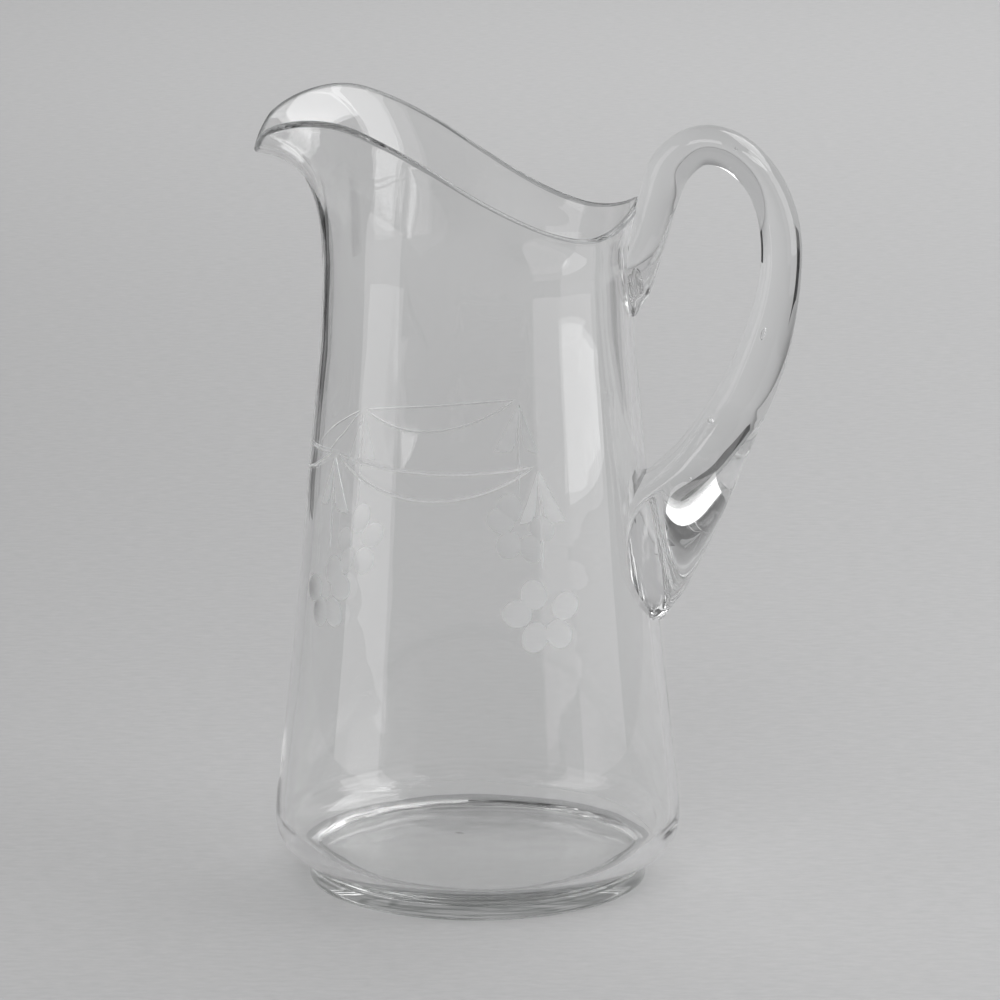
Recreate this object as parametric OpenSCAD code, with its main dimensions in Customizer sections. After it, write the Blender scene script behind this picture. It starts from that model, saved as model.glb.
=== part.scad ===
// Hand-made cocktail pitcher of clear glass.
// The vessel is blown, its mouth pulled into a drooping spout between two high crests,
// and its rim sinks towards the handle. A disc foot and a drawn rod handle were fused to it hot.
// Millimetres. The jug's axis is Z, the table is z = 0, the spout points to -X, the handle to +X.

/* [Vessel] */
// Widest radius, low on the belly
belly_r = 62.2; // [56:0.2:68]
// Radius of the round heel that turns the belly in to the foot
heel_r = 12; // [8:0.5:16]
// Radius of the straight round neck
neck_r = 46.8; // [42:0.2:52]
// Height at which the round neck ends and the pulled rim starts
neck_z = 192; // [184:1:198]
// Thickness of the blown side wall
wall_t = 3; // [2:0.1:4]
// Thickness of the rounded rim
rim_t = 2.4; // [1.6:0.1:3]
// Thickness of the vessel's floor over the foot
floor_t = 3; // [2:0.1:5]
// Radius of the inside corner between floor and wall
well_r = 13; // [8:0.5:16]

/* [Rim and spout] */
// Distance from the axis to the tip of the spout
spout_reach = 65.9; // [58:0.1:74]
// Height of the two crests beside the spout
crest_z = 238.8; // [230:0.2:246]
// Height of the lowest dips of the rim, on both sides of the handle
dip_z = 203.6; // [201:0.2:210]
// Angle of the pouring lip above level
lip_slope = 7; // [1:1:25]

/* [Foot] */
// Outer radius of the foot
foot_r = 51.8; // [46:0.2:56]
// Height of the foot, from the table to the vessel
foot_h = 7; // [5:0.5:10]
// Radius that rounds the foot's upper edge
foot_top_round = 2.6; // [1:0.1:3.5]
// Radius that rounds the foot's lower edge
foot_low_round = 1; // [0.4:0.1:1.4]
// Inner radius of the flat ring that the jug stands on
rest_inner_r = 46.5; // [38:0.5:48]
// Depth of the dished underside at its centre
dish_d = 0.6; // [0.3:0.1:1.2]
// How far the vessel's bottom sank into the soft foot
sink_d = 1.5; // [1:0.1:2.5]

/* [Handle] */
// Distance from the axis to the middle of the handle at its widest
handle_reach = 91.6; // [84:0.2:100]
// Height of the middle of the handle at its top
handle_top_z = 228.6; // [222:0.2:236]
// Height of the tail tip of the lower pad
tail_z = 82; // [72:0.5:92]
// Thickness of the drawn rod, seen from the side, at its slimmest
grip_t = 12; // [9:0.2:15]
// Width of the drawn rod, seen from the end
grip_w = 13.6; // [10:0.2:17]
// Width of the pressed lower pad
pad_w = 46; // [36:0.5:54]
// Angle below level at which the handle's root meets its pad
root_lean = 36; // [24:1:44]
// Turn of the handle off the spout's line, as the hand set it, in degrees
handle_turn = -6; // [-10:1:10]

/* [Hidden] */

// Glass as it looks on a pale ground
glass_tint = [0.86, 0.89, 0.90, 0.55];

// Counts that set how fine the curves are
segs = 60;
heel_steps = 6;
side_steps = 12;
rim_steps = 9;
lip_steps = 4;
well_steps = 6;
grip_sides = 24;
grip_steps = 50;
arc_steps = 6;

// Height of the widest part, because the heel stands on the foot
belly_z = foot_h + heel_r;
// The vessel's bottom lies in a seat that it pressed in the foot
seat_z = foot_h - sink_d;
seat_r = min(foot_r - foot_top_round, belly_r - heel_r) - sink_d;
floor_z = seat_z + floor_t;

// Side of the vessel from the belly to the neck: share of the step from neck radius to belly radius
side_shares = [1, 0.87, 0.71, 0.555, 0.425, 0.31, 0.175, 0.05, 0];
// Rim reach every 15 degrees from the spout round to the handle: share of the step from neck to spout tip
rim_reach_shares = [1, 0.88, 0.634, 0.449, 0.284, 0.124, -0.02, -0.124, -0.113, -0.046, -0.046, -0.01, 0.09];
// Rim height at the same places: share of the step from the dips to the crests
rim_height_shares = [0.655, 0.875, 0.996, 1, 0.859, 0.65, 0.418, 0.227, 0.08, 0, 0.023, 0.102, 0.193];
// Steepness of the wall at the rim: share of the step from the lip's slope to upright
rim_steep_shares = [0, 0.2, 0.52, 0.72, 0.85, 0.94, 0.99, 1, 1, 1, 1, 0.97, 0.9];
// Where along the handle its sections leave the rod's own square cut, and where they follow the root's lean
lean_start_share = 0.61;
lean_full_share = 0.72;
// How far the curve from the neck runs straight up, and how far the lip runs straight out
neck_run_share = 0.54;
lip_run_share = 0.43;

// Handle from the pressed upper tip over the top to the tail: share of the way from wall to reach
path_out_shares = [
    -0.016, -0.016, 0.016, 0.105, 0.181, 0.262, 0.452, 0.676, 0.884, 0.993,
    0.989, 0.878, 0.699, 0.369, -0.025, -0.122, -0.115, -0.085, -0.028
];
// Height at the same places: share of the step from the tail tip to the handle's top
path_up_shares = [
    0.644, 0.692, 0.753, 0.821, 0.893, 0.956, 0.999, 0.987, 0.924, 0.828,
    0.706, 0.569, 0.452, 0.351, 0.269, 0.174, 0.085, 0.031, 0.004
];
// Depth of the section on the loop's outer side: share of half the rod's thickness
outer_deep_shares = [
    0.5, 0.67, 0.83, 0.92, 1, 1.08, 1.02, 0.97, 0.95, 1.02,
    1.07, 1.3, 1.5, 2.58, 4.05, 3.45, 2.27, 1.2, 0.45
];
// Depth of the section on the finger side: share of half the rod's thickness
inner_deep_shares = [
    0.27, 1, 1.22, 1.05, 1, 1.07, 1, 0.97, 0.95, 1.02,
    1.07, 1.28, 1.42, 1.08, 0.67, 0.5, 0.5, 0.4, 0.27
];
// Width of the rod part of the section: share of the rod's width
rod_wide_shares = [
    0.5, 1, 1.33, 1.3, 1.12, 1.03, 1, 1, 1, 1.03,
    1.06, 1.2, 1.4, 1.3, 0.7, 0, 0, 0, 0
];
// Width that the lower pad adds: share of the pad's width
pad_wide_shares = [
    0, 0, 0, 0, 0, 0, 0, 0, 0, 0,
    0, 0, 0, 0.26, 0.75, 1.02, 0.87, 0.53, 0.15
];
// Shape powers of the two sides of the section: 1 is round, more is ridged, less is square
outer_power_shares = [
    0.6, 0.6, 0.7, 0.9, 1, 1, 1, 1, 1, 1,
    1, 1, 1, 1.3, 1.9, 2.3, 2.3, 2, 1.6
];
inner_power_shares = [
    1.6, 1.5, 1.3, 1.1, 1, 1, 1, 1, 1, 1,
    1, 1, 1, 0.9, 0.6, 0.5, 0.5, 0.5, 0.5
];

// Entry of a table whose curve comes in level at both ends
function level_entry(tab, i) = tab[i < 0 ? -i : i > len(tab) - 1 ? 2 * (len(tab) - 1) - i : i];
// Entry of a table whose curve runs on straight past both ends
function open_entry(tab, i) =
    i < 0 ? 2 * tab[0] - tab[1]
    : i > len(tab) - 1 ? 2 * tab[len(tab) - 1] - tab[len(tab) - 2]
    : tab[i];
// Smooth curve through four neighbours
function through(a, b, c, d, f) =
    b + f / 2 * (c - a + f * (2 * a - 5 * b + 4 * c - d + f * (3 * (b - c) + d - a)));
function level_curve(tab, t) =
    let (n = len(tab) - 1)
    let (k = min(floor(t * n), n - 1))
    through(level_entry(tab, k - 1), tab[k], tab[k + 1], level_entry(tab, k + 2), t * n - k);
function open_curve(tab, t) =
    let (n = len(tab) - 1)
    let (k = min(floor(t * n), n - 1))
    through(open_entry(tab, k - 1), tab[k], tab[k + 1], open_entry(tab, k + 2), t * n - k);

// Radius of the vessel's side at a height between belly and neck, straight above the neck
function side_r(z) =
    neck_r + (belly_r - neck_r)
    * level_curve(side_shares, min(max((z - belly_z) / (neck_z - belly_z), 0), 1));

// Rim at a share of the half turn, 0 over the spout and 1 over the handle
function rim_point(w) = [
    neck_r + (spout_reach - neck_r) * level_curve(rim_reach_shares, w),
    dip_z + (crest_z - dip_z) * level_curve(rim_height_shares, w)
];
function rim_angle(w) = lip_slope + (90 - lip_slope) * level_curve(rim_steep_shares, w);

// Curve from the neck to the rim, with upright start and the rim's own slope at its end
function neck_curve(w, s) =
    let (p = rim_point(w))
    let (a = rim_angle(w))
    let (q = [neck_r, neck_z])
    let (rise = p[1] - neck_z)
    let (len_out = norm(p - q))
    let (p1 = q + [0, rise * neck_run_share])
    let (p2 = p - len_out * lip_run_share * [cos(a), sin(a)])
    pow(1 - s, 3) * q + 3 * pow(1 - s, 2) * s * p1 + 3 * (1 - s) * s * s * p2 + pow(s, 3) * p;

// Middle line of the wall above the belly, then its outward direction
function mid_point(w, s) =
    s <= 1
    ? let (z = belly_z + (neck_z - belly_z) * s) [side_r(z) - wall_t / 2, z]
    : neck_curve(w, s - 1) - [wall_t / 2 * (2 - s), 0];
function mid_out(w, s) =
    let (h = 0.002)
    let (d = mid_point(w, min(s + h, 2)) - mid_point(w, max(s - h, 0)))
    [d[1], -d[0]] / norm(d);
// Half thickness of the wall, which thins from the body to the rim
function half_t(s) = (s <= 1 ? wall_t : wall_t + (rim_t - wall_t) * (s - 1)) / 2;

// Outer face from the sunk bottom round the heel to the rim
function outer_line(w) = concat(
    [[seat_r - sink_d, seat_z], [seat_r, foot_h]],
    [for (i = [0:heel_steps - 1])
        let (a = -90 + 90 * i / heel_steps)
        [belly_r - heel_r + heel_r * cos(a), belly_z + heel_r * sin(a)]],
    [for (i = [0:side_steps - 1]) let (s = i / side_steps) mid_point(w, s) + half_t(s) * mid_out(w, s)],
    [for (i = [0:rim_steps]) let (s = 1 + i / rim_steps) mid_point(w, s) + half_t(s) * mid_out(w, s)]
);
// Rounded edge of the rim, from outside to inside
function lip_line(w) =
    let (m = mid_point(w, 2))
    let (o = mid_out(w, 2))
    let (up = [-o[1], o[0]])
    [for (i = [1:lip_steps - 1])
        let (a = 180 * i / lip_steps)
        m + half_t(2) * (cos(a) * o + sin(a) * up)];
// Inner face from the rim down into the well
function well_point(a) = [
    belly_r - wall_t - well_r + well_r * cos(a),
    floor_z + well_r + well_r * sin(a)
];
function inner_line(w) = concat(
    [for (i = [rim_steps:-1:0]) let (s = 1 + i / rim_steps) mid_point(w, s) - half_t(s) * mid_out(w, s)],
    [for (i = [side_steps - 1:-1:1])
        let (s = i / side_steps)
        let (z = floor_z + well_r + (neck_z - floor_z - well_r) * s)
        [side_r(z) - wall_t, z]],
    [for (i = [0:well_steps]) well_point(-90 * i / well_steps)]
);

// Share of the half turn at a plan angle, 0 at the spout on -X and 1 at the handle on +X
function turn_share(j) = abs(180 - 360 * j / segs) / 180;

// Skin over rings of points that all have the same count, closed at both ends on the axis
module turned_skin(lines, n, low, high) {
    rows = len(lines[0]);
    points = concat(
        [[0, 0, low]],
        [for (k = [0:rows - 1]) for (j = [0:n - 1])
            let (a = 360 * j / n)
            [lines[j][k][0] * cos(a), lines[j][k][0] * sin(a), lines[j][k][1]]],
        [[0, 0, high]]
    );
    top = rows * n + 1;
    faces = concat(
        [for (j = [0:n - 1]) [0, 1 + j, 1 + (j + 1) % n]],
        [for (k = [0:rows - 2]) for (j = [0:n - 1])
            let (a = 1 + k * n + j)
            let (b = 1 + k * n + (j + 1) % n)
            [a, a + n, b]],
        [for (k = [0:rows - 2]) for (j = [0:n - 1])
            let (a = 1 + k * n + j)
            let (b = 1 + k * n + (j + 1) % n)
            [b, a + n, b + n]],
        [for (j = [0:n - 1]) [top, top - n + (j + 1) % n, top - n + j]]
    );
    polyhedron(points = points, faces = faces);
}

// The blown vessel, open at its mouth
module vessel_glass() {
    lines = [for (j = [0:segs - 1])
        let (w = turn_share(j))
        concat(outer_line(w), lip_line(w), inner_line(w))];
    turned_skin(lines, segs, seat_z, floor_z);
}

// The same outer shape filled up, which shapes what is pressed on it
module vessel_filled() {
    lines = [for (j = [0:segs - 1])
        let (w = turn_share(j))
        concat(outer_line(w), lip_line(w))];
    turned_skin(lines, segs, seat_z, neck_z);
}

// Points of an arc in the plane of a profile
function arc(cx, cz, r, a0, a1) = [
    for (i = [0:arc_steps]) let (a = a0 + (a1 - a0) * i / arc_steps) [cx + r * cos(a), cz + r * sin(a)]
];

// Depth of the dished underside at a radius
function dish_z(r) = dish_d * (1 - pow(r / rest_inner_r, 2));

module foot_glass() {
    profile = concat(
        [[0, seat_z]],
        [for (i = [0:arc_steps])
            let (r = rest_inner_r * i / arc_steps)
            [r, dish_z(r)]],
        arc(foot_r - foot_low_round, foot_low_round, foot_low_round, -90, 0),
        arc(foot_r - foot_top_round, foot_h - foot_top_round, foot_top_round, 0, 90),
        [[seat_r, foot_h], [seat_r - sink_d, seat_z]]
    );
    rotate_extrude($fn = segs) polygon(profile);
}

// Middle line of the handle, in the plane of X and Z
function path_point(t) =
    let (z = tail_z + (handle_top_z - tail_z) * open_curve(path_up_shares, t))
    let (r = side_r(z))
    [r + (handle_reach - r) * open_curve(path_out_shares, t), z];
function path_side(t) =
    let (h = 0.004)
    let (d = path_point(min(t + h, 1)) - path_point(max(t - h, 0)))
    let (a = -root_lean * (1 - t) / (1 - lean_full_share))
    let (f = min(max((t - lean_start_share) / (lean_full_share - lean_start_share), 0), 1))
    let (v = (1 - f) * [-d[1], d[0]] / norm(d) + f * [cos(a), sin(a)])
    v / norm(v);
function half_w(t) =
    (grip_w * max(open_curve(rod_wide_shares, t), 0) + pad_w * max(open_curve(pad_wide_shares, t), 0)) / 2;

// Section of the handle: an oval rod that turns into a ridged pad
function section(t) =
    let (c = path_point(t))
    let (o = path_side(t))
    let (deep_o = grip_t / 2 * open_curve(outer_deep_shares, t))
    let (deep_i = grip_t / 2 * open_curve(inner_deep_shares, t))
    let (pow_o = open_curve(outer_power_shares, t))
    let (pow_i = open_curve(inner_power_shares, t))
    let (w = half_w(t))
    [for (i = [0:grip_sides - 1])
        let (a = 360 * (i + 0.5) / grip_sides)
        let (f = cos(a) > 0 ? deep_o * pow(cos(a), pow_o) : -deep_i * pow(-cos(a), pow_i))
        [c[0] + o[0] * f, w * sin(a), c[1] + o[1] * f]];

module handle_glass() {
    n = grip_sides;
    rings = [for (i = [0:grip_steps]) section(i / grip_steps)];
    points = [for (r = rings) for (p = r) p];
    last = grip_steps * n;
    faces = concat(
        [[for (j = [n - 1:-1:0]) j]],
        [for (k = [0:grip_steps - 1]) for (j = [0:n - 1])
            let (a = k * n + j)
            let (b = k * n + (j + 1) % n)
            [a, b, a + n]],
        [for (k = [0:grip_steps - 1]) for (j = [0:n - 1])
            let (a = k * n + j)
            let (b = k * n + (j + 1) % n)
            [b, b + n, a + n]],
        [[for (j = [0:n - 1]) last + j]]
    );
    difference() {
        rotate([0, 0, handle_turn]) polyhedron(points = points, faces = faces);
        vessel_filled();
    }
}

module vessel() {
    color(glass_tint) vessel_glass();
}

module foot() {
    color(glass_tint) foot_glass();
}

module handle() {
    color(glass_tint) handle_glass();
}

vessel();
foot();
handle();
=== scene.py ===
from functools import lru_cache
from math import atan2, cos, degrees, exp, pi, radians, sin, sqrt, tan

import bmesh
import bpy
from mathutils import Matrix, Vector, noise


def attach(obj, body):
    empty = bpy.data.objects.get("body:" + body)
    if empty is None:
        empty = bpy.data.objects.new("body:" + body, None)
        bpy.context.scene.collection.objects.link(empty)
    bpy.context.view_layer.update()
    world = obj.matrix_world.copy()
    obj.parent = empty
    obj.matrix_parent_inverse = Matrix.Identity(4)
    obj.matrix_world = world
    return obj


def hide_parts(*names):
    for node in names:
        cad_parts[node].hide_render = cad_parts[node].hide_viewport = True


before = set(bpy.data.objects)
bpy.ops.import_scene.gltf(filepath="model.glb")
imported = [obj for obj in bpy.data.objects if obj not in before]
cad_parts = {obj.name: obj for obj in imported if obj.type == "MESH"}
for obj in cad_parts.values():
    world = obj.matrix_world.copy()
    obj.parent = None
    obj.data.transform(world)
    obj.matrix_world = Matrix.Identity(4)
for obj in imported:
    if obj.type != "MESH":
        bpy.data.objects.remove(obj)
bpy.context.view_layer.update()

# A clear glass pitcher on pale paper. The glass is shaped in millimetres, and a piece that is done is turned
# to metres. The paper, lamps, cards and camera are placed in metres.
MM = 0.001

# Sizes of the jug, as in the part's source
BELLY_R, HEEL_R, NECK_R, NECK_Z = 62.2, 12.0, 46.8, 192.0
WALL_T, RIM_T, FLOOR_T, WELL_R = 3.0, 2.4, 3.0, 13.0
SPOUT_REACH, CREST_Z, DIP_Z, LIP_SLOPE = 65.9, 238.8, 203.6, 7.0
FOOT_R, FOOT_H, FOOT_TOP_ROUND, FOOT_LOW_ROUND = 51.8, 7.0, 2.6, 1.0
REST_INNER_R, DISH_D, SINK_D = 46.5, 0.6, 1.5
# Distances from the axis between which the foot's glass turns greyer: painted shade
SHADE_FROM, SHADE_TO = 47.5, 49.5
HANDLE_REACH, HANDLE_TOP_Z, TAIL_Z = 91.6, 228.6, 82.0
GRIP_T, GRIP_W, PAD_W, ROOT_LEAN, HANDLE_TURN = 12.0, 13.6, 46.0, 36.0, -6.0
BELLY_Z = FOOT_H + HEEL_R
CONTACT_R = FOOT_R - FOOT_TOP_ROUND
SEAT_Z, SEAT_R = FOOT_H - SINK_D, CONTACT_R - SINK_D
FLOOR_Z = SEAT_Z + FLOOR_T
WELL_IN_R, WELL_Z = BELLY_R - WALL_T - WELL_R, FLOOR_Z + WELL_R

# Curves of the glass in even steps, as shares of the sizes above.
# The side from belly to neck: 1 is the belly's radius and 0 the neck's
SIDE = [1, 0.87, 0.71, 0.555, 0.425, 0.31, 0.175, 0.05, 0]
# The rim from the spout half way round to the handle: how far out it lies, how high, how steeply it rises
RIM_REACH = [1, 0.88, 0.634, 0.449, 0.284, 0.124, -0.02, -0.124, -0.113, -0.046, -0.046, -0.01, 0.09]
RIM_HEIGHT = [0.655, 0.875, 0.996, 1, 0.859, 0.65, 0.418, 0.227, 0.08, 0, 0.023, 0.102, 0.193]
RIM_STEEP = [0, 0.2, 0.52, 0.72, 0.85, 0.94, 0.99, 1, 1, 1, 1, 0.97, 0.9]
# How long the curve from neck to rim follows the neck, and how long the lip
NECK_RUN, LIP_RUN = 0.54, 0.43
# The handle from its root under the rim over the arch to its tail: the way of its middle, out and up
PATH_OUT = [
    -0.016, -0.016, 0.016, 0.105, 0.181, 0.262, 0.452, 0.676, 0.884, 0.993,
    0.989, 0.878, 0.699, 0.369, -0.025, -0.122, -0.115, -0.085, -0.028,
]
PATH_UP = [
    0.644, 0.692, 0.753, 0.821, 0.893, 0.956, 0.999, 0.987, 0.924, 0.828,
    0.706, 0.569, 0.452, 0.351, 0.269, 0.174, 0.085, 0.031, 0.004,
]
# Its depth on the outside and the inside, as shares of the rod's, and where its section leans to the wall
OUTER_DEEP = [
    0.5, 0.67, 0.83, 0.92, 1, 1.08, 1.02, 0.97, 0.95, 1.02,
    1.07, 1.3, 1.5, 2.58, 4.05, 3.45, 2.27, 1.2, 0.45,
]
INNER_DEEP = [
    0.27, 1, 1.22, 1.05, 1, 1.07, 1, 0.97, 0.95, 1.02,
    1.07, 1.28, 1.42, 1.08, 0.67, 0.5, 0.5, 0.4, 0.27,
]
LEAN_START, LEAN_FULL = 0.61, 0.72
# The rod's and the pad's part in its width, and how full its section is outside and inside: 1 is an ellipse
ROD_WIDE = [0.5, 1, 1.33, 1.3, 1.12, 1.03, 1, 1, 1, 1.03, 1.06, 1.2, 1.4, 1.3, 0.7, 0, 0, 0, 0]
PAD_WIDE = [0, 0, 0, 0, 0, 0, 0, 0, 0, 0, 0, 0, 0, 0.26, 0.75, 1.02, 0.87, 0.53, 0.15]
OUTER_POWER = [0.6, 0.6, 0.7, 0.9, 1, 1, 1, 1, 1, 1, 1, 1, 1, 1.3, 1.9, 2.3, 2.3, 2, 1.6]
INNER_POWER = [1.6, 1.5, 1.3, 1.1, 1, 1, 1, 1, 1, 1, 1, 1, 1, 0.9, 0.6, 0.5, 0.5, 0.5, 0.5]

# Fineness of the meshes
TURN_STEPS = 300
HEEL_STEPS, SIDE_STEPS, RIM_STEPS, LIP_STEPS, WELL_STEPS, FLOOR_STEPS = 14, 42, 32, 14, 54, 18
GRIP_SIDES, GRIP_STEPS = 84, 300
SWAG_STEPS, STEM_STEPS, GROOVE_SIDES = 40, 16, 8
RIBBON_GRID, PETAL_GRID = (10, 4), (8, 8)
ARC_STEPS, DISH_STEPS = 12, 20
BUBBLE_GRID = {"u_segments": 20, "v_segments": 12, "radius": 1}

# How close points are when they are one, how close the halves of the vessel are sewn, what counts as level
MERGE, SEW, LEVEL = 1e-5, 2e-4, 0.01
# Digits to which a place is rounded, so that what was worked out for it is found again
DIGITS = 6
# Where faces meet at more than this angle in degrees, the glass has a crease
CREASE = 35

# The cut garland: a node's angle from +X in degrees, the height of its flower's centre, the angles of the
# five petals. It leaves the handle's side free.
NODE_Z = 139.4
GARLAND = [
    (-147.1, 97.0, (18, 63, 187, 250, 307)),
    (-69.0, 94.4, (16, 112, 173, 248, 311)),
    (75.0, 97.2, (15, 61, 178, 242, 306)),
    (137.3, 96.4, (20, 100, 170, 240, 312)),
]
LONGEST_SWAG = 90
# Sag of the two swags between neighbouring nodes, and how far from a node they start
SWAGS = (("deep", 10.0, 1.3), ("shallow", 2.0, 0.7))
# Radius and depth of the grooves, how they lie, and how steeply they run out at their ends
SWAG_ROUND, SWAG_DEPTH, SWAG_DROP, SWAG_ENDS = 0.5, 0.30, 0.4, 14
STEM_ROUND, STEM_DEPTH, STEM_TOP, STEM_LEN, STEM_SWAY = 0.45, 0.20, 1.5, 30, 0.5
STEM_BEND, STEM_UPPER_END, STEM_LOWER_END = 2.2, 10, 8
# Ribbon ends: side, length and lean in degrees
RIBBONS = (("left", -1, 17.5, 21), ("right", 1, 18.5, 27))
RIBBON_DEPTH, RIBBON_DROP, RIBBON_START, RIBBON_INNER = 0.30, 1.2, 0.04, 0.045
RIBBON_CURL, RIBBON_POWER = 0.05, 1.2
PETAL_REACH, PETAL_SPREAD, PETAL_LONG, PETAL_WIDE, PETAL_DEPTH = 7.4, 0.5, 4.8, 4.25, 0.34
# How the petals' reach changes from petal to petal and from node to node
PETAL_STEP, NODE_STEP = 3.1, 1.7
# How far the edge of a cutter stands off the wall, and how far its back does
SWAG_CLEAR, STEM_CLEAR, RIBBON_CLEAR, PETAL_CLEAR, BACK = 0.04, 0.03, 0.02, 0.03, 0.9
# Depth of a swag's middle as a share of its ends'
SWAG_MIDDLE = 0.62

# The fold round the well: its place on the inside corner in degrees, and its strength, from right to left
FOLD_LEAN = [-50, -46, -42, -40, -40.5, -39, -37.5, -36, -33, -28, -23]
FOLD_STRENGTH = [0, 0.35, 0.8, 1, 1, 1, 0.9, 0.5, 0.35, 0.2, 0]
# Directions in degrees from +X between which the two tables run, and how high and wide the fold is
FOLD_LEAN_FROM, FOLD_LEAN_TO, FOLD_FROM, FOLD_TO = 10, 150, -20, 180
FOLD_HIGH, FOLD_WIDE = 0.42, 0.28
# Where the fine steps of the well lie, in degrees below level, and the coarse ones above and below them
FOLD_TOP, FOLD_SPAN = 22, 30
LEANS_ABOVE, LEANS_BELOW = [0, 5, 10, 15, 19], [56, 62, 69, 76, 83, 90]

# Waves of the blown inside: height and length of the slow and the fine ones, and the run below the rim
# over which they fade
SLOW_HIGH, SLOW_LONG, FINE_HIGH, FINE_LONG, CALM_RUN = 0.08, 26, 0.03, 9, 0.25
FINE_PLACE = Vector((7, 3, 1))

# How far up the heel its grey underside goes: painted shade on the glass
SHADED_UNDERSIDE_H = 1.6

# The flaw in the floor: its place, its size along three axes and its turn in degrees
FLAW_AT, FLAW_SIZE, FLAW_TURN = (-5.6, 15.5, FLOOR_Z - 1.3), (1.6, 0.8, 0.5), -35


# Curves shared by the pieces

def share_between(value, start, end):
    """How far a value is from start to end, as a share that stays within 0 and 1"""
    return min(max((value - start) / (end - start), 0), 1)


def through(a, b, c, d, f):
    """A share f of the way from b to c on a smooth curve that also passes a and d"""
    return b + f / 2 * (c - a + f * (2 * a - 5 * b + 4 * c - d + f * (3 * (b - c) + d - a)))


def level_curve(tab, t):
    """Smooth curve through evenly spaced values that is level at both ends"""
    n = len(tab) - 1
    k = min(int(t * n), n - 1)
    after = k + 2 if k + 2 <= n else 2 * n - k - 2
    return through(tab[abs(k - 1)], tab[k], tab[k + 1], tab[after], t * n - k)


def open_curve(tab, t):
    """Smooth curve through evenly spaced values that runs straight on at both ends"""
    n = len(tab) - 1
    k = min(int(t * n), n - 1)
    before = tab[k - 1] if k else 2 * tab[0] - tab[1]
    after = tab[k + 2] if k + 2 <= n else 2 * tab[n] - tab[n - 1]
    return through(before, tab[k], tab[k + 1], after, t * n - k)


def side_r(z):
    """Radius of the outside at a height"""
    return NECK_R + (BELLY_R - NECK_R) * level_curve(SIDE, share_between(z, BELLY_Z, NECK_Z))


@lru_cache(maxsize=None)
def neck_points(w):
    """Four control points of the curve from neck to rim, at a share of the half turn from the spout"""
    p = Vector((
        NECK_R + (SPOUT_REACH - NECK_R) * level_curve(RIM_REACH, w),
        DIP_Z + (CREST_Z - DIP_Z) * level_curve(RIM_HEIGHT, w),
    ))
    a = radians(LIP_SLOPE + (90 - LIP_SLOPE) * level_curve(RIM_STEEP, w))
    q = Vector((NECK_R, NECK_Z))
    rise = p.y - NECK_Z
    before_rim = p - (p - q).length * LIP_RUN * Vector((cos(a), sin(a)))
    return q, q + Vector((0, rise * NECK_RUN)), before_rim, p


def mid_point(w, s):
    """Middle of the wall as (radius, height): s runs 0 to 1 up the side and 1 to 2 up the neck"""
    if s <= 1:
        z = BELLY_Z + (NECK_Z - BELLY_Z) * s
        return Vector((side_r(z) - WALL_T / 2, z))
    s -= 1
    q, p1, p2, p = neck_points(w)
    r = (1 - s) ** 3 * q + 3 * (1 - s) ** 2 * s * p1 + 3 * (1 - s) * s * s * p2 + s ** 3 * p
    return r - Vector((WALL_T / 2 * (1 - s), 0))


def mid_out(w, s, step=0.002):
    """Outward direction of the wall there"""
    d = mid_point(w, min(s + step, 2)) - mid_point(w, max(s - step, 0))
    return Vector((d.y, -d.x)).normalized()


def half_t(s):
    """Half the wall's thickness there"""
    return (WALL_T if s <= 1 else WALL_T + (RIM_T - WALL_T) * (s - 1)) / 2


# Mesh helpers

def mesh_object(name, bm, material):
    mesh = bpy.data.meshes.new(name)
    bm.to_mesh(mesh)
    bm.free()
    obj = bpy.data.objects.new(name, mesh)
    bpy.context.scene.collection.objects.link(obj)
    mesh.materials.append(material)
    return obj


def add_mesh(bm, part):
    """Puts a copy of part into bm and frees it"""
    mesh = bpy.data.meshes.new("part")
    part.to_mesh(mesh)
    part.free()
    bm.from_mesh(mesh)
    bpy.data.meshes.remove(mesh)


def close_tube(bm):
    """Joins the two long edges of a rolled sheet and caps its ends"""
    bmesh.ops.remove_doubles(bm, verts=bm.verts, dist=MERGE)
    bmesh.ops.holes_fill(bm, edges=[e for e in bm.edges if e.is_boundary], sides=0)


def turn_round_axis(bm, turn):
    bmesh.ops.rotate(bm, cent=(0, 0, 0), matrix=Matrix.Rotation(radians(turn), 3, "Z"), verts=bm.verts)


def combine(target, cutter, operation):
    """Keeps the result on target. The cutter's faces bring their own material."""
    mod = target.modifiers.new("combine", "BOOLEAN")
    mod.operation, mod.solver, mod.object = operation, "MANIFOLD", cutter
    mod.material_mode = "TRANSFER"
    graph = bpy.context.evaluated_depsgraph_get()
    result = bpy.data.meshes.new_from_object(target.evaluated_get(graph))
    target.modifiers.clear()
    target.data = result


def discard(*objs):
    for o in objs:
        bpy.data.objects.remove(o)


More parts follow.
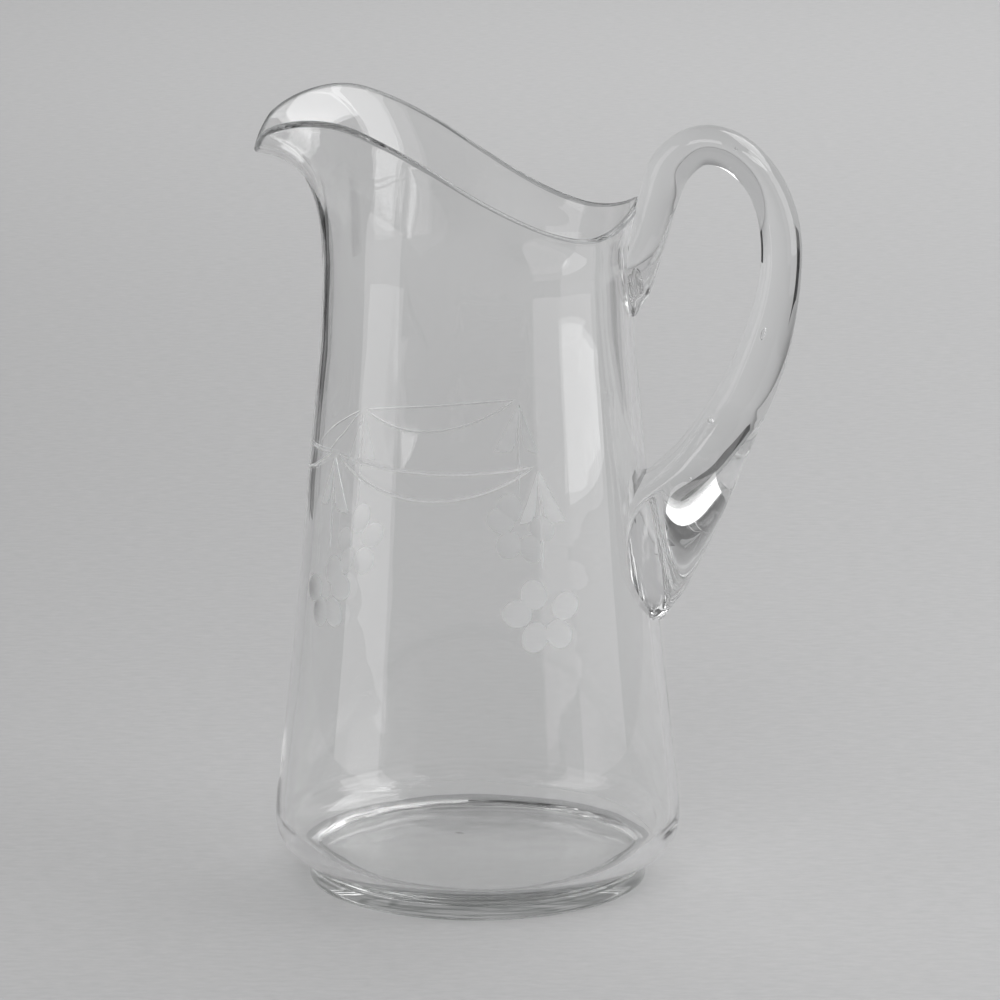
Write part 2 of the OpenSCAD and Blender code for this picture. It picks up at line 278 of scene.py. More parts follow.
def spun(rows, painted_shade_material=0):
    """Turns a section round the jug's axis.

    Each row is radius, height, share, offset out, offset up, inside.
    Rows with a share over 1 lie on the neck. Their radius and height only keep them in order: a point is set
    by its share and its offsets from the middle of the wall.
    """
    bm = bmesh.new()
    share, out, up, inside = (bm.verts.layers.float.new(n) for n in ("share", "out", "up", "inside"))
    chain = []
    for r, z, s, o, u, i in rows:
        v = bm.verts.new((r, 0, z))
        v[share], v[out], v[up], v[inside] = s, o, u, i
        chain.append(v)
    for a, b in zip(chain, chain[1:]):
        bm.edges.new((a, b))
    bmesh.ops.spin(
        bm, geom=bm.verts[:] + bm.edges[:], cent=(0, 0, 0), axis=(0, 0, 1), dvec=(0, 0, 0),
        angle=2 * pi, steps=TURN_STEPS, use_merge=True, use_duplicate=False,
    )
    bmesh.ops.remove_doubles(bm, verts=bm.verts, dist=MERGE)
    for v in bm.verts:
        if v[share] <= 1:
            continue
        a = atan2(v.co.y, v.co.x)
        w = round(1 - abs(degrees(a)) / 180, DIGITS)
        s = v[share]
        mid, side = mid_point(w, s), mid_out(w, s)
        p = mid + half_t(s) * (v[out] * side + v[up] * Vector((-side.y, side.x)))
        v.co = (p.x * cos(a), p.x * sin(a), p.y)
    # The lip, and the underside of the heel, get the dark grey glass that paints shade there
    top = FOOT_H + SHADED_UNDERSIDE_H
    for f in bm.faces:
        outside = not any(v[inside] for v in f.verts)
        low = all(v.co.z < top and v.co.xy.length > CONTACT_R - LEVEL for v in f.verts)
        if outside and low or all(v[share] == 2 for v in f.verts):
            f.material_index = painted_shade_material
    bmesh.ops.recalc_face_normals(bm, faces=bm.faces)
    for v, n in [(v, v.normal.copy()) for v in bm.verts if v[inside]]:
        v.co += n * blown_wave(v.co, v[share])
    return bm


def blown_wave(p, share):
    """How far the inside stands off its true form: slow waves, and the fold that runs round the well"""
    calm = min(1, (2 - share) / CALM_RUN)
    off = SLOW_HIGH * noise.noise(p / SLOW_LONG)
    off += FINE_HIGH * noise.noise(p / FINE_LONG + FINE_PLACE)
    r = p.xy.length
    if p.z < WELL_Z and r > WELL_IN_R:
        turn = degrees(atan2(p.y, p.x))
        lean = degrees(atan2(p.z - WELL_Z, r - WELL_IN_R))
        place = level_curve(FOLD_LEAN, share_between(turn, FOLD_LEAN_FROM, FOLD_LEAN_TO))
        strength = level_curve(FOLD_STRENGTH, share_between(turn, FOLD_FROM, FOLD_TO))
        off += FOLD_HIGH * strength * exp(-((lean - place) * radians(1) * WELL_R / FOLD_WIDE) ** 2)
    return off * calm


def outer_rows():
    """From the middle of the bottom up the outside and over the lip"""
    rows = [
        (0, SEAT_Z, 0, 0, 0, 0), (SEAT_R / 2, SEAT_Z, 0, 0, 0, 0), (SEAT_R - SINK_D, SEAT_Z, 0, 0, 0, 0),
        (SEAT_R, FOOT_H, 0, 0, 0, 0), (CONTACT_R, FOOT_H, 0, 0, 0, 0),
    ]
    for i in range(HEEL_STEPS):
        a = radians(-90 + 90 * i / HEEL_STEPS)
        rows.append((BELLY_R - HEEL_R + HEEL_R * cos(a), BELLY_Z + HEEL_R * sin(a), 0, 0, 0, 0))
    for i in range(SIDE_STEPS + 1):
        s = i / SIDE_STEPS
        p = mid_point(0, s) + half_t(s) * mid_out(0, s)
        rows.append((p.x, p.y, s, 1, 0, 0))
    rows += [(NECK_R, NECK_Z + i, 1 + i / RIM_STEPS, 1, 0, 0) for i in range(1, RIM_STEPS + 1)]
    for i in range(1, LIP_STEPS):
        a = pi * i / LIP_STEPS
        r = NECK_R - WALL_T / 2 + WALL_T / 2 * cos(a)
        rows.append((r, NECK_Z + RIM_STEPS + sin(a), 2, cos(a), sin(a), 0))
    return rows


def inner_rows():
    """From the lip down the inside to the middle of the floor"""
    rows = [(NECK_R - WALL_T, NECK_Z + i, 1 + i / RIM_STEPS, -1, 0, 1) for i in range(RIM_STEPS, 0, -1)]
    for i in range(SIDE_STEPS, 0, -1):
        z = WELL_Z + (NECK_Z - WELL_Z) * i / SIDE_STEPS
        rows.append((side_r(z) - WALL_T, z, 0, 0, 0, 1))
    fine = [FOLD_TOP + FOLD_SPAN * i / WELL_STEPS for i in range(WELL_STEPS + 1)]
    for lean in LEANS_ABOVE + fine + LEANS_BELOW:
        a = radians(-lean)
        rows.append((WELL_IN_R + WELL_R * cos(a), WELL_Z + WELL_R * sin(a), 0, 0, 0, 1))
    rows += [(WELL_IN_R * (1 - i / FLOOR_STEPS), FLOOR_Z, 0, 0, 0, 1) for i in range(1, FLOOR_STEPS)]
    return rows + [(0, FLOOR_Z, 0, 0, 0, 1)]


# Materials

GLASS_IOR = 1.5


def node(tree, kind, where, **values):
    """Adds a node. Values go to its sockets, or else to its settings."""
    n = tree.nodes.new("ShaderNode" + kind)
    n.location = where
    for key, value in values.items():
        if key in n.inputs:
            n.inputs[key].default_value = value
        else:
            setattr(n, key, value)
    return n


def stretched(tree, vector, where, scale):
    n = node(tree, "Mapping", where)
    n.inputs["Scale"].default_value = scale
    tree.links.new(vector, n.inputs["Vector"])
    return n.outputs[0]


def clouds(tree, vector, where, **values):
    """Noise in the material, about 0 to 1"""
    n = node(tree, "TexNoise", where, **values)
    tree.links.new(vector, n.inputs["Vector"])
    return n.outputs["Fac"]


def relief(tree, height, where, strength, distance):
    n = node(tree, "Bump", where, Strength=strength, Distance=distance)
    tree.links.new(height, n.inputs["Height"])
    return n


def spread(tree, value, where, start, full, low=0, high=1, **kind):
    """Turns a value from start to full into one from low to high"""
    n = node(tree, "MapRange", where, **kind)
    for key, bound in (("From Min", start), ("From Max", full), ("To Min", low), ("To Max", high)):
        n.inputs[key].default_value = bound
    tree.links.new(value, n.inputs["Value"])
    return n.outputs[0]


def ramp(tree, value, where, places, colors):
    """Blends one colour into another as a value goes from the first place to the second"""
    n = node(tree, "ValToRGB", where)
    for stop, place, color in zip(n.color_ramp.elements, places, colors):
        stop.position = place
        stop.color = (*color, 1)
    tree.links.new(value, n.inputs[0])
    return n.outputs[0]


def glass_material(name, tint, build, clearness=1, shade=0.83):
    """Clear glass. build adds its skin. A lamp's light is dimmed to shade at each face that it crosses."""
    m = bpy.data.materials.new(name)
    m.use_nodes = True
    t = m.node_tree
    t.nodes.clear()
    out = node(t, "OutputMaterial", (900, 0))
    glass = node(t, "BsdfPrincipled", (300, 0), IOR=GLASS_IOR)
    glass.inputs["Base Color"].default_value = (*tint, 1)
    glass.inputs["Transmission Weight"].default_value = clearness
    clear = node(t, "BsdfTransparent", (300, -420), Color=(shade, shade, shade, 1))
    path = node(t, "LightPath", (300, 420))
    mix = node(t, "MixShader", (650, 0))
    t.links.new(path.outputs["Is Shadow Ray"], mix.inputs[0])
    t.links.new(glass.outputs[0], mix.inputs[1])
    t.links.new(clear.outputs[0], mix.inputs[2])
    t.links.new(mix.outputs[0], out.inputs["Surface"])
    build(t, node(t, "TexCoord", (-900, 0)).outputs["Object"], glass)
    return m


def blown(t, coords, glass):
    """Slow waves of the blown skin, and the faint upright cords left by drawing it out"""
    waves = clouds(t, coords, (-500, -200), Scale=38, Detail=1.5, Roughness=0.4)
    bump = relief(t, waves, (-100, -250), strength=0.12, distance=0.0004)
    upright = stretched(t, coords, (-700, 200), (130, 130, 9))
    cords = clouds(t, upright, (-500, 200), Scale=1, Detail=1, Roughness=0.5)
    fine = relief(t, cords, (-100, 100), strength=0.08, distance=0.00006)
    t.links.new(fine.outputs[0], bump.inputs["Normal"])
    t.links.new(bump.outputs[0], glass.inputs["Normal"])
    glass.inputs["Roughness"].default_value = 0


def pressed(t, coords, glass):
    """Blown skin, with painted shade: a greyer band round the foot's edge, and level turning lines in it
    whose lighter streaks are painted highlights
    """
    blown(t, coords, glass)
    away = node(t, "VectorMath", (-500, 600), operation="LENGTH")
    t.links.new(stretched(t, coords, (-700, 600), (1, 1, 0)), away.inputs[0])
    # The foot's edge turns greyer as painted shade, and the level lines in it are lighter streaks that paint
    # thin highlights
    edge = spread(t, away.outputs["Value"], (-300, 600), SHADE_FROM * MM, SHADE_TO * MM)
    level = stretched(t, coords, (-700, 900), (25, 25, 1400))
    lines = clouds(t, level, (-500, 900), Scale=1, Detail=2, Roughness=0.6)
    shade_and_highlight_greys = ramp(t, lines, (-300, 900), (0.42, 0.6), ((0.3, 0.315, 0.305), (0.86, 0.865, 0.86)))
    tone = node(t, "MixRGB", (0, 700))
    tone.inputs[1].default_value = glass.inputs["Base Color"].default_value
    t.links.new(edge, tone.inputs[0])
    t.links.new(shade_and_highlight_greys, tone.inputs[2])
    t.links.new(tone.outputs[0], glass.inputs["Base Color"])


def ground(t, coords, glass):
    """Matt face left by the cutting wheel, with its fine level scratches"""
    level = stretched(t, coords, (-700, -200), (60, 60, 1500))
    scratches = clouds(t, level, (-500, -200), Scale=1, Detail=2, Roughness=0.6)
    bump = relief(t, scratches, (-100, -250), strength=0.8, distance=0.00012)
    t.links.new(bump.outputs[0], glass.inputs["Normal"])
    grain = clouds(t, coords, (-500, 200), Scale=2500, Detail=2)
    matt = spread(t, grain, (-100, 200), start=0.3, full=0.7, low=0.38, high=0.55)
    t.links.new(matt, glass.inputs["Roughness"])


def weld_material():
    """Where two pieces were fused hot, no surface is left to see"""
    m = bpy.data.materials.new("fused_joint")
    m.use_nodes = True
    t = m.node_tree
    t.nodes.clear()
    clear = node(t, "BsdfTransparent", (0, 0), Color=(1, 1, 1, 1))
    t.links.new(clear.outputs[0], node(t, "OutputMaterial", (300, 0)).inputs["Surface"])
    return m


blown_glass = glass_material("clear_blown", (0.99, 0.991, 0.99), blown)
# Dark grey glass on the lip and the heel's underside is painted shade: it draws the dark lines along the rim
# and round the base
painted_shade_glass = glass_material("painted_shade_rim_and_heel", (0.45, 0.46, 0.46), blown)
foot_glass = glass_material("clear_pressed", (0.95, 0.954, 0.952), pressed, shade=1)
handle_glass = glass_material("clear_drawn", (0.984, 0.987, 0.986), blown)
cut_glass = glass_material("wheel_cut", (0.97, 0.975, 0.975), ground, clearness=0.84)
fused = weld_material()


# The garland's cutters

def wall_place(angle, z):
    """Point on the outer wall and its outward direction"""
    s = (z - BELLY_Z) / (NECK_Z - BELLY_Z)
    p, o = mid_point(0, s), mid_out(0, s)
    p = p + half_t(s) * o
    c, k = cos(radians(angle)), sin(radians(angle))
    return Vector((p.x * c, p.x * k, p.y)), Vector((o.x * c, o.x * k, o.y))


def on_wall(angle, z, du, dz, depth):
    """Point reached by going du millimetres round and dz up from a place on the wall, and depth into it"""
    p, o = wall_place(angle + degrees(du / side_r(z)), z + dz)
    return p - depth * o


def groove(angle, z, line, radius, depth, steps, near=0.01):
    """Tube whose inner side cuts a thin groove. line(t) gives (du, dz), depth(t) how deep."""
    bm = bmesh.new()
    bmesh.ops.create_grid(bm, x_segments=steps, y_segments=GROOVE_SIDES, size=1)
    for v in bm.verts:
        t, turn = (v.co.x + 1) / 2, pi * (v.co.y + 1)
        du, dz = line(t)
        ahead, behind = line(min(t + near, 1)), line(max(t - near, 0))
        centre = on_wall(angle, z, du, dz, depth(t) - radius)
        out = (on_wall(angle, z, du, dz, -1) - on_wall(angle, z, du, dz, 0)).normalized()
        along = (on_wall(angle, z, *ahead, 0) - on_wall(angle, z, *behind, 0)).normalized()
        across = along.cross(out)
        v.co = centre + radius * (cos(turn) * out + sin(turn) * across)
    close_tube(bm)
    bmesh.ops.recalc_face_normals(bm, faces=bm.faces)
    return bm


def facet(angle, z, shape, grid):
    """Shallow patch cut: shape(x, y) gives (du, dz, depth) for x and y from -1 to 1"""
    bm = bmesh.new()
    bmesh.ops.create_grid(bm, x_segments=grid[0], y_segments=grid[1], size=1)
    low = [(v, shape(v.co.x, v.co.y)) for v in bm.verts]
    for v, (du, dz, depth) in low:
        v.co = on_wall(angle, z, du, dz, depth)
    lifted = bmesh.ops.extrude_face_region(bm, geom=bm.faces[:])
    for v in (g for g in lifted["geom"] if isinstance(g, bmesh.types.BMVert)):
        a = degrees(atan2(v.co.y, v.co.x))
        v.co += BACK * wall_place(a, v.co.z)[1]
    bmesh.ops.recalc_face_normals(bm, faces=bm.faces)
    return bm


def petal(turn, reach):
    """Round cut, deepest in its middle, a reach away from the flower's centre"""
    def shape(x, y):
        u, v = x * sqrt(1 - y * y / 2), y * sqrt(1 - x * x / 2)
        fall = u * u + v * v
        a, b = reach + PETAL_LONG * u, PETAL_WIDE * v
        c, k = cos(radians(turn)), sin(radians(turn))
        return a * c - b * k, a * k + b * c, PETAL_DEPTH * (1 - fall) - PETAL_CLEAR * fall
    return shape


def ribbon(side, length, lean):
    """Ribbon end below a node: deep along its outer edge, running out at its inner one and its foot"""
    def shape(x, y):
        t, across = (x + 1) / 2, (y + 1) / 2
        far = length * (RIBBON_START + (1 - RIBBON_START) * t)
        outer, inner = far * sin(radians(lean)), far * RIBBON_INNER
        du = side * (inner + (outer - inner) * across)
        dz = -far * (cos(radians(lean)) * across + 1 - across) * (1 - RIBBON_CURL * t * (1 - across))
        return du, dz - RIBBON_DROP, RIBBON_DEPTH * across ** RIBBON_POWER * (1 - t ** 3) - RIBBON_CLEAR
    return shape


def gathered(name, parts, material):
    """One cutter object from several meshes that don't touch"""
    bm = bmesh.new()
    for part in parts:
        add_mesh(bm, part)
    return mesh_object(name, bm, material)


def swag_line(width, sag, start):
    def line(t):
        u = start + (width - 2 * start) * t
        return u, -start * SWAG_DROP - 4 * sag * t * (1 - t)
    return line


def swag_depth(t):
    """Cut deeper near its ends, and running out at them"""
    shallower = SWAG_MIDDLE + (1 - SWAG_MIDDLE) * abs(2 * t - 1)
    return SWAG_DEPTH * min(1, SWAG_ENDS * t, SWAG_ENDS * (1 - t)) * shallower - SWAG_CLEAR


def stem_line(t):
    return STEM_SWAY * sin(STEM_BEND * t), -STEM_TOP - STEM_LEN * t


def stem_depth(t):
    return STEM_DEPTH * min(1, STEM_UPPER_END * t, STEM_LOWER_END * (1 - t)) - STEM_CLEAR


# Cutters of one set don't touch, so neighbouring petals are in different ones
PETAL_SETS = ("petal0", "petal1", "petal0", "petal1", "petal2")


def engrave(vessel):
    """Cuts the garland into the vessel, one set after another"""
    sets = {n: [] for n in ("deep", "shallow", "stem", "left", "right", "petal0", "petal1", "petal2")}
    count = len(GARLAND)
    for i, (angle, flower_z, turns) in enumerate(GARLAND):
        span = (GARLAND[(i + 1) % count][0] - angle) % 360
        width = radians(span) * side_r(NODE_Z)
        for key, sag, start in SWAGS if span < LONGEST_SWAG else ():
            line = swag_line(width, sag, start)
            sets[key].append(groove(angle, NODE_Z, line, SWAG_ROUND, swag_depth, SWAG_STEPS))
        sets["stem"].append(groove(angle, NODE_Z, stem_line, STEM_ROUND, stem_depth, STEM_STEPS))
        for key, side, length, lean in RIBBONS:
            sets[key].append(facet(angle, NODE_Z, ribbon(side, length, lean), RIBBON_GRID))
        for k, turn in enumerate(turns):
            reach = PETAL_REACH + PETAL_SPREAD * sin(PETAL_STEP * k + NODE_STEP * i)
            sets[PETAL_SETS[k]].append(facet(angle, flower_z, petal(turn, reach), PETAL_GRID))
    for key, parts in sets.items():
        cutter = gathered("cutter_" + key, parts, cut_glass)
        combine(vessel, cutter, "DIFFERENCE")
        discard(cutter)


# Vessel

def finish_piece(obj):
    """Metres, smooth faces, and creases where materials meet or the surface breaks"""
    mesh = obj.data
    one_skin = {i for i, m in enumerate(mesh.materials) if m in (blown_glass, painted_shade_glass)}
    bm = bmesh.new()
    bm.from_mesh(mesh)
    bmesh.ops.remove_doubles(bm, verts=bm.verts, dist=SEW)
    bmesh.ops.scale(bm, vec=(MM, MM, MM), verts=bm.verts)
    for f in bm.faces:
        f.smooth = True
    for e in bm.edges:
        if len(e.link_faces) == 2:
            a, b = e.link_faces
            skins = {a.material_index, b.material_index}
            round_here = a.normal.angle(b.normal, 0) < radians(CREASE)
            e.smooth = round_here and (len(skins) == 1 or skins <= one_skin)
    open_edges = sum(len(e.link_faces) != 2 for e in bm.edges)
    bm.to_mesh(mesh)
    bm.free()
    names = [m.name for m in mesh.materials]
    print(f"{obj.name}: {len(mesh.polygons)} faces, {open_edges} open edges, materials {names}")


vessel = mesh_object("vessel_glass", spun(outer_rows() + inner_rows(), painted_shade_material=1), blown_glass)
vessel.data.materials.append(painted_shade_glass)
engrave(vessel)

# A small flaw blown into the floor
flaw = bmesh.new()
bmesh.ops.create_uvsphere(flaw, **BUBBLE_GRID)
bmesh.ops.scale(flaw, vec=FLAW_SIZE, verts=flaw.verts)
turn_round_axis(flaw, FLAW_TURN)
bmesh.ops.translate(flaw, vec=FLAW_AT, verts=flaw.verts)
flaw_tool = mesh_object("flaw_tool", flaw, blown_glass)
combine(vessel, flaw_tool, "DIFFERENCE")
discard(flaw_tool)


# Handle

def path_point(t):
    """Middle of the handle as (radius, height), t from its root under the rim to its tail"""
    z = TAIL_Z + (HANDLE_TOP_Z - TAIL_Z) * open_curve(PATH_UP, t)
    r = side_r(z)
    return Vector((r + (HANDLE_REACH - r) * open_curve(PATH_OUT, t), z))


def path_side(t, step=0.004):
    """Outward direction of the handle there: square to its run, then leaning to the wall in the pad"""
    d = path_point(min(t + step, 1)) - path_point(max(t - step, 0))
    a = radians(-ROOT_LEAN * (1 - t) / (1 - LEAN_FULL))
    f = share_between(t, LEAN_START, LEAN_FULL)
    return ((1 - f) * Vector((-d.y, d.x)).normalized() + f * Vector((cos(a), sin(a)))).normalized()


@lru_cache(maxsize=None)
def section(t):
    """Middle, outward direction, outer and inner depth, their two powers, half width of the handle there"""
    wide = (GRIP_W * max(open_curve(ROD_WIDE, t), 0) + PAD_W * max(open_curve(PAD_WIDE, t), 0)) / 2
    outer, inner = (GRIP_T / 2 * open_curve(tab, t) for tab in (OUTER_DEEP, INNER_DEEP))
    powers = (open_curve(tab, t) for tab in (OUTER_POWER, INNER_POWER))
    return path_point(t), path_side(t), outer, inner, *powers, wide


def handle_loft():
    """The handle's full form, which still reaches into the wall"""
    bm = bmesh.new()
    bmesh.ops.create_grid(bm, x_segments=GRIP_STEPS, y_segments=GRIP_SIDES, size=1)
    for v in bm.verts:
        c, o, deep_o, deep_i, pow_o, pow_i, wide = section(round((v.co.x + 1) / 2, DIGITS))
        a = pi * (v.co.y + 1) + pi / GRIP_SIDES
        k = cos(a)
        f = deep_o * k ** pow_o if k > 0 else -deep_i * (-k) ** pow_i
        v.co = (c.x + o.x * f, wide * sin(a), c.y + o.y * f)
    close_tube(bm)
    turn_round_axis(bm, HANDLE_TURN)
    bmesh.ops.recalc_face_normals(bm, faces=bm.faces)
    return bm


BUBBLES = [
    # share along the handle, out share, sideways, half length, half width
    (0.688, -0.24, -3.0, 0.8, 0.7),
    (0.593, -0.15, -2.5, 2.0, 0.5),
    (0.389, 0.2, -2.0, 0.4, 0.35),
    (0.739, 0.18, -4.0, 0.4, 0.35),
    (0.46, 0.5, 2.5, 0.9, 0.4),
]


def bubbles(step=0.01):
    """Long bubbles that lie along the handle"""
    parts = []
    for t, out, side, long_r, wide_r in BUBBLES:
        bm = bmesh.new()
        bmesh.ops.create_uvsphere(bm, **BUBBLE_GRID)
        c, o, deep = section(t)[:3]
        along = (path_point(t + step) - path_point(t - step)).normalized()
        turn = Matrix((
            (along.x * long_r, 0, o.x * wide_r), (0, wide_r, 0), (along.y * long_r, 0, o.y * wide_r),
        ))
        for v in bm.verts:
            v.co = turn @ v.co + Vector((c.x + o.x * deep * out, side, c.y + o.y * deep * out))
        turn_round_axis(bm, HANDLE_TURN)
        bmesh.ops.recalc_face_normals(bm, faces=bm.faces)
        parts.append(bm)
    return parts


handle = mesh_object("handle_glass", handle_loft(), handle_glass)
handle.data.materials.append(fused)
tool = mesh_object("handle_tool", handle_loft(), fused)

filled_rows = outer_rows() + [(0, NECK_Z, 0, 0, 0, 0)]
filled = mesh_object("filled", spun(filled_rows), fused)
combine(handle, filled, "DIFFERENCE")
bubble_tool = gathered("bubble_tool", bubbles(), handle_glass)
combine(handle, bubble_tool, "DIFFERENCE")

# The handle's footprint is drawn on the vessel, which is cut in two there and sewn up again
plug = vessel.copy()
plug.data = vessel.data.copy()
bpy.context.scene.collection.objects.link(plug)
combine(vessel, tool, "DIFFERENCE")
combine(plug, tool, "INTERSECT")


def without(obj, material):
    """The mesh of an object less its faces of one material"""
    bm = bmesh.new()
    bm.from_mesh(obj.data)
    n = obj.data.materials.find(material.name)
    bmesh.ops.delete(bm, geom=[f for f in bm.faces if f.material_index == n], context="FACES")
    return bm


joined = without(vessel, fused)
part = without(plug, fused)
weld_number = vessel.data.materials.find(fused.name)
# The outer skin inside the footprint is the fused joint
for f in part.faces:
    if f.normal.dot(f.calc_center_median() * Vector((1, 1, 0))) > 0:
        f.material_index = weld_number
add_mesh(joined, part)
bmesh.ops.remove_doubles(joined, verts=joined.verts, dist=SEW)
for f in joined.faces:
    c = f.calc_center_median()
    if c.z < FOOT_H + LEVEL and c.xy.length < CONTACT_R:
        f.material_index = weld_number
joined.to_mesh(vessel.data)
joined.free()
discard(plug, tool, filled, bubble_tool)
finish_piece(vessel)
finish_piece(handle)


# Foot

def foot_rows():
    """From the middle of the dish out to the edge and back over the seat"""
    def arc(cx, cz, r, a0, a1):
        turns = [radians(a0 + (a1 - a0) * i / ARC_STEPS) for i in range(ARC_STEPS + 1)]
        return [(cx + r * cos(a), cz + r * sin(a)) for a in turns]

    def dish(r):
        return DISH_D * (1 - (r / REST_INNER_R) ** 2)

    line = [(r, dish(r)) for r in (REST_INNER_R * i / DISH_STEPS for i in range(DISH_STEPS + 1))]
    line += arc(FOOT_R - FOOT_LOW_ROUND, FOOT_LOW_ROUND, FOOT_LOW_ROUND, -90, 0)
    line += arc(CONTACT_R, FOOT_H - FOOT_TOP_ROUND, FOOT_TOP_ROUND, 0, 90)
    line += [(SEAT_R, FOOT_H), (SEAT_R - SINK_D, SEAT_Z), (SEAT_R / 2, SEAT_Z), (0, SEAT_Z)]
    return [(r, z, 0, 0, 0, 0) for r, z in line]


foot = mesh_object("foot_glass", spun(foot_rows()), foot_glass)
foot.data.materials.append(fused)
for p in foot.data.polygons:
    if p.center.z > SEAT_Z - LEVEL and p.center.xy.length < CONTACT_R:
        p.material_index = foot.data.materials.find(fused.name)
finish_piece(foot)

for piece, name in ((vessel, "vessel"), (foot, "foot"), (handle, "handle")):
    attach(piece, "root")
    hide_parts(name)


# Paper that the jug stands on

PAPER_R, PAPER_SIDES, PAPER_DROP = 3, 96, 0.00004
PAPER_DARK, PAPER_PALE = (0.432, 0.432, 0.435), (0.475, 0.475, 0.477)
LEFT, RIGHT, NEAR = (-0.45, 0, 0), (0.45, 0, 0), (0, -0.5, 0)


def paper_material():
    m = bpy.data.materials.new("studio_paper")
    m.use_nodes = True
    t = m.node_tree
    skin = t.nodes["Principled BSDF"]
    skin.inputs["Roughness"].default_value = 0.9
    skin.inputs["Specular IOR Level"].default_value = 0
    coords = node(t, "TexCoord", (-900, 0)).outputs["Object"]
    along = stretched(t, coords, (-750, 0), (0.35, 1, 1))
    fibres = clouds(t, along, (-550, 100), Scale=420, Detail=3, Roughness=0.7)
    tone = ramp(t, fibres, (-300, 100), (0.3, 0.7), (PAPER_DARK, PAPER_PALE))
    t.links.new(tone, skin.inputs["Base Color"])
    return m


def paper(name, *cuts):
    """The part of the round sheet beyond each cut. A cut is a point and a direction."""
    bm = bmesh.new()
    bmesh.ops.create_circle(bm, cap_ends=True, segments=PAPER_SIDES, radius=PAPER_R)
    bmesh.ops.translate(bm, vec=(0, 0, -PAPER_DROP), verts=bm.verts)
    for place, facing in cuts:
        bmesh.ops.bisect_plane(
            bm, geom=bm.verts[:] + bm.edges[:] + bm.faces[:], plane_co=place, plane_no=facing,
            clear_inner=True, clear_outer=False,
        )
    for f in bm.faces:
        if f.normal.z < 0:
            f.normal_flip()
    sheet = mesh_object(name, bm, studio_paper)
    return sheet


studio_paper = paper_material()
paper("paper", (LEFT, (1, 0, 0)), (RIGHT, (-1, 0, 0)), (NEAR, (0, 1, 0)))
# The glass mirrors only the strip behind the jug, as if the table ended at its sides and in front
for sheet in (
    paper("paper_left", (LEFT, (-1, 0, 0))),
    paper("paper_right", (RIGHT, (1, 0, 0))),
    paper("paper_near", (LEFT, (1, 0, 0)), (RIGHT, (-1, 0, 0)), (NEAR, (0, -1, 0))),
):
    sheet.visible_glossy = False


# Light

JUG_MIDDLE = 0.12


def around(bearing, away, height):
    """A place round the jug. The bearing is in degrees from the camera's side towards the handle."""
    a = radians(bearing)
    return Vector((away * sin(a), -away * cos(a), height))


def lamp(name, place, target, size, glow):
    """Lamp facing a target. glow is how bright its face looks."""
    light = bpy.data.lights.new(name, "AREA")
    light.shape, light.size, light.size_y = "RECTANGLE", *size
    light.energy = glow * pi * size[0] * size[1]
    obj = bpy.data.objects.new(name, light)
    obj.location = place
    obj.rotation_euler = (Vector(target) - place).to_track_quat("-Z", "Y").to_euler()
    obj.visible_camera = False
    bpy.context.scene.collection.objects.link(obj)
    return obj


def upright_lamp(name, bearing, away, low, size, glow):
    height = low + size[1] / 2
    return lamp(name, around(bearing, away, height), (0, 0, height), size, glow)


def high_lamp(name, bearing, away, rise, size, glow):
    e = radians(rise)
    place = around(bearing, away * cos(e), JUG_MIDDLE + away * sin(e))
    return lamp(name, place, (0, 0, JUG_MIDDLE), size, glow)


def felt(name, tone):
    m = bpy.data.materials.new(name)
    m.use_nodes = True
    skin = m.node_tree.nodes["Principled BSDF"]
    skin.inputs["Base Color"].default_value = (tone, tone, tone, 1)
    skin.inputs["Roughness"].default_value = 1
    return m


def dark_card(name, bearing, span, away, low, high, material):
    """Card beside the picture that draws a thin dark line along an edge of the glass"""
    bm = bmesh.new()
    bmesh.ops.create_grid(bm, x_segments=1, y_segments=1, size=0.5)
    bmesh.ops.scale(bm, vec=(2 * away * tan(radians(span / 2)), high - low, 1), verts=bm.verts)
    card = mesh_object(name, bm, material)
    card.location = around(bearing, away, (low + high) / 2)
    card.rotation_euler = (pi / 2, 0, radians(bearing))
    card.visible_camera = card.visible_shadow = card.visible_diffuse = False


# Bearing, distance, lower edge or rise in degrees, width and height, glow
upright_lamp("right_softbox", 79.5, 1.05, 0.04, (0.62, 1.26), 2.6)
upright_lamp("right_fill", 52, 1.05, 0.0, (0.41, 1.0), 0.7)
upright_lamp("left_softbox", -74, 0.9, 0.1, (0.52, 1.04), 1.3)
high_lamp("rim_lamp", 118, 1.35, 47, (1.0, 0.75), 3.0)
high_lamp("well_lamp", 58, 1.5, 39, (0.86, 0.26), 3.5)
# The lower ends of the bands that the two softboxes draw in the glass. They throw no light on the paper.
for low_end in (
    upright_lamp("right_softbox_foot", 79.5, 1.05, -0.1, (0.62, 0.14), 1.0),
    upright_lamp("left_softbox_foot", -74, 0.9, -0.16, (0.52, 0.26), 1.3),
):
    low_end.visible_diffuse = False
# Drawn by the handle's outside alone
high_lamp("handle_lamp", -14, 1.5, 44, (0.9, 0.45), 3.0).visible_transmission = False
# Light the paper alone
for fill in (
    lamp("paper_lamp", Vector((0.5, 1.8, 1.3)), (0.5, 1.8, 0), (2.4, 1.4), 2.6),
    high_lamp("front_fill", -14, 1.52, 44, (0.9, 0.45), 3.5),
):
    fill.visible_glossy = fill.visible_transmission = False

# Bearing, span in degrees, distance, lower and upper edge
black_felt, grey_felt = felt("black_felt", 0.01), felt("grey_felt", 0.15)
dark_card("card_right", 121, 14, 0.9, 0, 0.14, black_felt)
dark_card("card_left", -150, 12, 0.6, 0.05, 0.085, black_felt)
dark_card("card_left_low", -150, 12, 0.6, 0, 0.05, grey_felt)


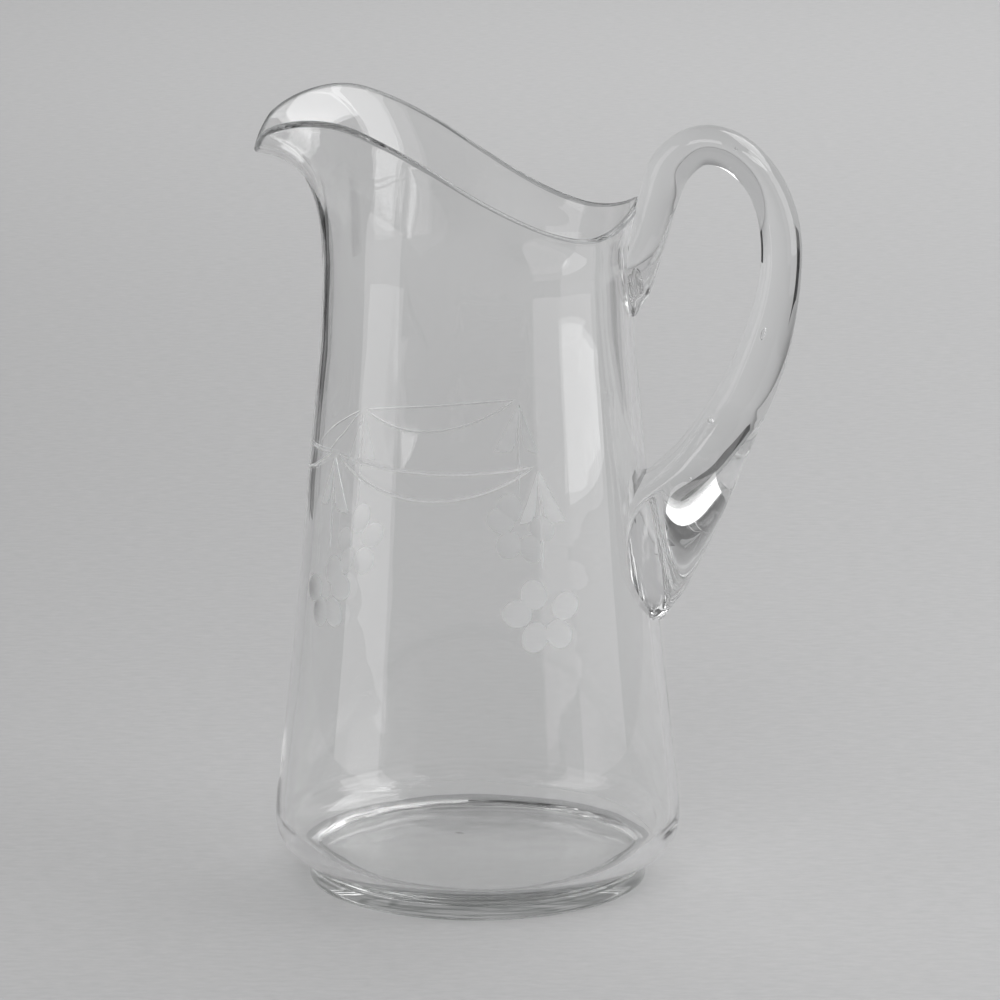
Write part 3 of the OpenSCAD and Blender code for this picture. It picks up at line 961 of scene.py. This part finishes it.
def grown(name, start, full, low, high, where):
    """Turns part of a ray's direction into a share between low and high"""
    way = heading.outputs[name]
    return spread(air, way, where, start, full, low, high, interpolation_type="SMOOTHSTEP")


# The air is about as bright as the paper low behind the jug, and darker above, in front and at the sides
world = bpy.data.worlds.new("studio_air")
world.use_nodes = True
air = world.node_tree
directions = node(air, "TexCoord", (-900, 0))
heading = node(air, "SeparateXYZ", (-700, 0))
air.links.new(directions.outputs["Object"], heading.inputs[0])
both = node(air, "Math", (-300, 0), operation="MULTIPLY")
air.links.new(grown("Y", -0.1, 0.75, 0, 1, (-500, 0)), both.inputs[0])
air.links.new(grown("Z", 0.25, 0.75, 1, 0.4, (-500, -300)), both.inputs[1])
sky = ramp(air, both.outputs[0], (-100, 0), (0, 1), ((0.08, 0.08, 0.081), (0.44, 0.44, 0.444)))
seen = node(air, "LightPath", (-100, 300))
tone = node(air, "MixRGB", (200, 100))
tone.inputs[2].default_value = (0.48, 0.48, 0.48, 1)
air.links.new(seen.outputs["Is Camera Ray"], tone.inputs[0])
air.links.new(sky, tone.inputs[1])
air.links.new(tone.outputs[0], air.nodes["Background"].inputs["Color"])
bpy.context.scene.world = world

# Enough for light that goes round inside the handle
BOUNCES = 64
rays = bpy.context.scene.cycles
rays.max_bounces = rays.glossy_bounces = rays.transmission_bounces = rays.transparent_max_bounces = BOUNCES


# Camera

# Rise in degrees, distance, and the point it looks at, as fitted to the photograph
RISE, AWAY, AIM_X, AIM_Z = 13.11, 1.8387, 0.00683, 0.118
FOCAL_MM, SENSOR_MM = 217.33, 36.0
lens = bpy.data.cameras.new("camera")
lens.lens, lens.sensor_width = FOCAL_MM, SENSOR_MM
lens.clip_start, lens.clip_end = 0.1, 20
camera = bpy.data.objects.new("camera", lens)
camera.location = (AIM_X, -AWAY * cos(radians(RISE)), AIM_Z + AWAY * sin(radians(RISE)))
camera.rotation_euler = (radians(90 - RISE), 0, 0)
bpy.context.scene.collection.objects.link(camera)
bpy.context.scene.camera = camera
bpy.context.scene.view_settings.view_transform = "Standard"
